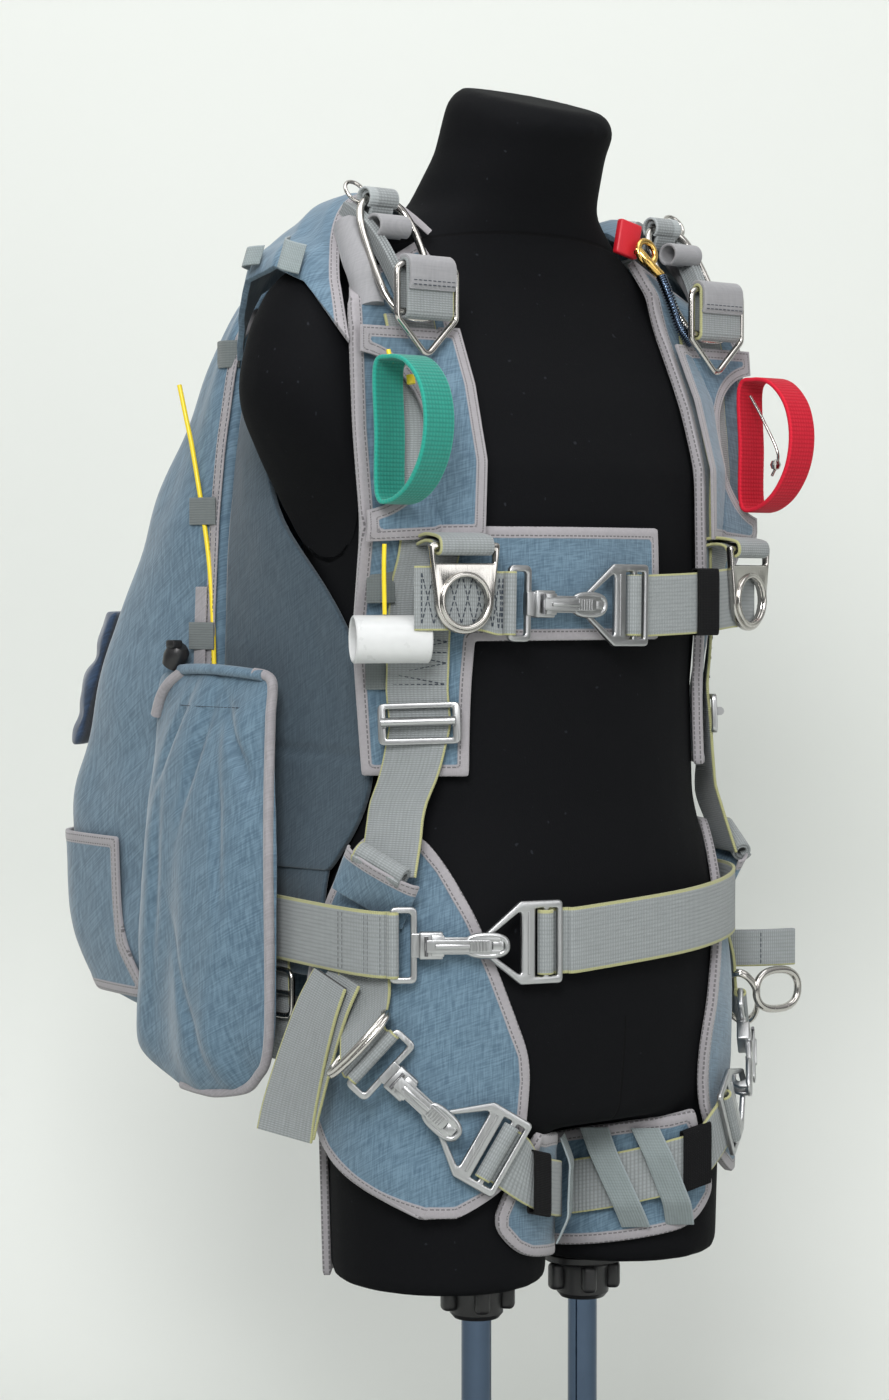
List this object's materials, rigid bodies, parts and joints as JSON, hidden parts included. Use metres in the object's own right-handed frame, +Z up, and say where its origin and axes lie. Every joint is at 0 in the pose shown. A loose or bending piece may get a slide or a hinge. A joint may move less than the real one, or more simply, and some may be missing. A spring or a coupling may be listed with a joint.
{
  "type": "parachute harness and container on a dress form with a stand",
  "caption": "Padded parachute harness with webbing, hook snaps, handles and a back container, worn on a dress form that stands on a base plate.",
  "frame": {"origin": "on the underside of the base plate, below the middle of the dress form", "axes": "+Z up; the wearer faces -Y and the container is on +Y; the wearer's right side is -X"},
  "size_m": [0.48, 0.6284, 1.1024],
  "materials": {
    "blue_cloth": "heathered blue-grey plain weave",
    "navy_cloth": "plain weave",
    "webbing": "ribbed grey webbing with yellow edge threads",
    "green_webbing": "ribbed webbing",
    "red_webbing": "ribbed webbing",
    "form_cover": "black jersey",
    "yellow_coating": "coated cable",
    "white_plastic": "satin",
    "polished_steel": "polished",
    "satin_alloy": "satin",
    "chrome": "bright"
  },
  "bodies": {
    "root": {"stand": "chrome", "form_body": "form_cover", "pack_body": "blue_cloth", "side_wing_right": "blue_cloth", "side_wing_left": "blue_cloth", "side_pouch": "blue_cloth", "rear_pouch": "navy_cloth", "corner_flap": "blue_cloth", "side_cable": "yellow_coating", "yoke_right": "blue_cloth", "yoke_left": "blue_cloth", "shoulder_pad_right": "blue_cloth", "shoulder_pad_left": "blue_cloth", "front_panel_right": "blue_cloth", "front_panel_left": "blue_cloth", "lift_web_right": "webbing", "lift_web_left": "webbing", "long_ring_right": "polished_steel", "long_ring_left": "polished_steel", "riser_link_right": "polished_steel", "riser_link_left": "polished_steel", "riser_band_right": "webbing", "riser_band_left": "webbing", "riser_web_right": "webbing", "riser_web_left": "webbing", "chest_ring_right": "polished_steel", "chest_ring_left": "polished_steel", "chest_web_right": "webbing", "chest_web_left": "webbing", "chest_snap": "satin_alloy", "chest_vee": "satin_alloy", "lift_adapter_right": "satin_alloy", "lift_adapter_left": "satin_alloy", "hip_pad_right": "blue_cloth", "hip_pad_left": "blue_cloth", "leg_pad_right": "blue_cloth", "leg_pad_left": "blue_cloth", "belly_web_right": "webbing", "belly_web_left": "webbing", "belly_snap": "satin_alloy", "belly_vee": "satin_alloy", "leg_web_right": "webbing", "leg_web_left": "webbing", "leg_right_snap": "satin_alloy", "leg_right_vee": "satin_alloy", "leg_left_snap": "satin_alloy", "leg_left_vee": "satin_alloy", "leg_band_right": "webbing", "leg_band_left": "webbing", "handle_green": "green_webbing", "handle_red": "red_webbing", "white_tube": "white_plastic", "front_cable": "yellow_coating", "loose_tail": "webbing", "side_loop": "webbing", "side_ring": "polished_steel"},
    "chest_lever": {"chest_lever": "satin_alloy"},
    "belly_lever": {"belly_lever": "satin_alloy"},
    "leg_right_lever": {"leg_right_lever": "satin_alloy"},
    "leg_left_lever": {"leg_left_lever": "satin_alloy"}
  },
  "joints": [
    {"name": "chest_lever_hinge", "type": "hinge", "parent": "root", "child": "chest_lever", "pos_m": [-0.08092, -0.10144, 0.72301], "axis": [-0.0199, 0.002, -0.9998], "range_deg": [0, 40], "stiffness_Nm_per_rad": 0.04, "springref_deg": -34.38},
    {"name": "belly_lever_hinge", "type": "hinge", "parent": "root", "child": "belly_lever", "pos_m": [-0.16028, -0.06873, 0.489], "axis": [0, 0, -1], "range_deg": [0, 40], "stiffness_Nm_per_rad": 0.04, "springref_deg": -34.38},
    {"name": "leg_right_lever_hinge", "type": "hinge", "parent": "root", "child": "leg_right_lever", "pos_m": [-0.17688, -0.05737, 0.39723], "axis": [-0.5321, 0.423, -0.7335], "range_deg": [0, 40], "stiffness_Nm_per_rad": 0.04, "springref_deg": -34.38},
    {"name": "leg_left_lever_hinge", "type": "hinge", "parent": "root", "child": "leg_left_lever", "pos_m": [0.17688, -0.05737, 0.39723], "axis": [-0.5321, -0.423, 0.7335], "range_deg": [0, 40], "stiffness_Nm_per_rad": 0.04, "springref_deg": -34.38}
  ]
}
